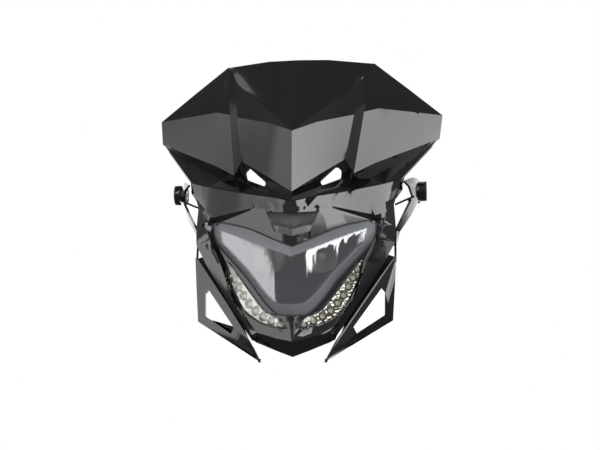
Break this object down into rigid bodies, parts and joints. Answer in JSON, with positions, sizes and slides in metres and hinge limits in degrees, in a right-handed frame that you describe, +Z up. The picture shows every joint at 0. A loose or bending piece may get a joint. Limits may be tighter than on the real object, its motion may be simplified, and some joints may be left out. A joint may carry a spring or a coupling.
{
  "type": "motorcycle led headlight fairing",
  "caption": "Universal street-bike headlight fairing: faceted gloss black visor over a V-nosed mask with clear lens, LED modules, crescent LED lamps and windowed side panels",
  "frame": {"origin": "middle of the axis through the two fork bolt holes in the ears", "axes": "+Z up, the lamp faces -Y, +X points to the viewer's right when looking at the lamp"},
  "size_m": [0.404, 0.1401, 0.4299],
  "materials": {
    "brow_vent_insert": "polished",
    "cable_grommet": "matt",
    "front_mask": "polished",
    "headlight_lens": "clear polycarbonate",
    "housing_screws": "black zinc",
    "lamp_housing": "textured",
    "lamp_pod_left": "cast",
    "lamp_pod_right": "cast",
    "led_dome_left": "clear",
    "led_dome_right": "clear",
    "lens_gasket": "matt",
    "main_reflector": "dark vacuum coating",
    "mount_grommet_left": "matt",
    "mount_grommet_right": "matt",
    "mount_sleeve_left": "zinc plated",
    "mount_sleeve_right": "zinc plated",
    "side_panel_left": "polished",
    "side_panel_right": "polished",
    "turn_housing_left": "textured",
    "turn_housing_right": "textured",
    "turn_led_strip_left": "satin",
    "turn_led_strip_right": "satin",
    "turn_lens_left": "clear polycarbonate",
    "turn_lens_right": "clear polycarbonate",
    "turn_reflector_left": "vacuum coating",
    "turn_reflector_right": "vacuum coating",
    "visor_screws": "black zinc",
    "windscreen_visor": "polished"
  },
  "bodies": {
    "root": {"brow_vent_insert": "brow_vent_insert", "cable_grommet": "cable_grommet", "front_mask": "front_mask", "headlight_lens": "headlight_lens", "housing_screws": "housing_screws", "lamp_housing": "lamp_housing", "lamp_pod_left": "lamp_pod_left", "lamp_pod_right": "lamp_pod_right", "led_dome_left": "led_dome_left", "led_dome_right": "led_dome_right", "lens_gasket": "lens_gasket", "main_reflector": "main_reflector", "mount_grommet_left": "mount_grommet_left", "mount_grommet_right": "mount_grommet_right", "mount_sleeve_left": "mount_sleeve_left", "mount_sleeve_right": "mount_sleeve_right", "side_panel_left": "side_panel_left", "side_panel_right": "side_panel_right", "turn_housing_left": "turn_housing_left", "turn_housing_right": "turn_housing_right", "turn_led_strip_left": "turn_led_strip_left", "turn_led_strip_right": "turn_led_strip_right", "turn_lens_left": "turn_lens_left", "turn_lens_right": "turn_lens_right", "turn_reflector_left": "turn_reflector_left", "turn_reflector_right": "turn_reflector_right", "visor_screws": "visor_screws", "windscreen_visor": "windscreen_visor"}
  },
  "joints": []
}
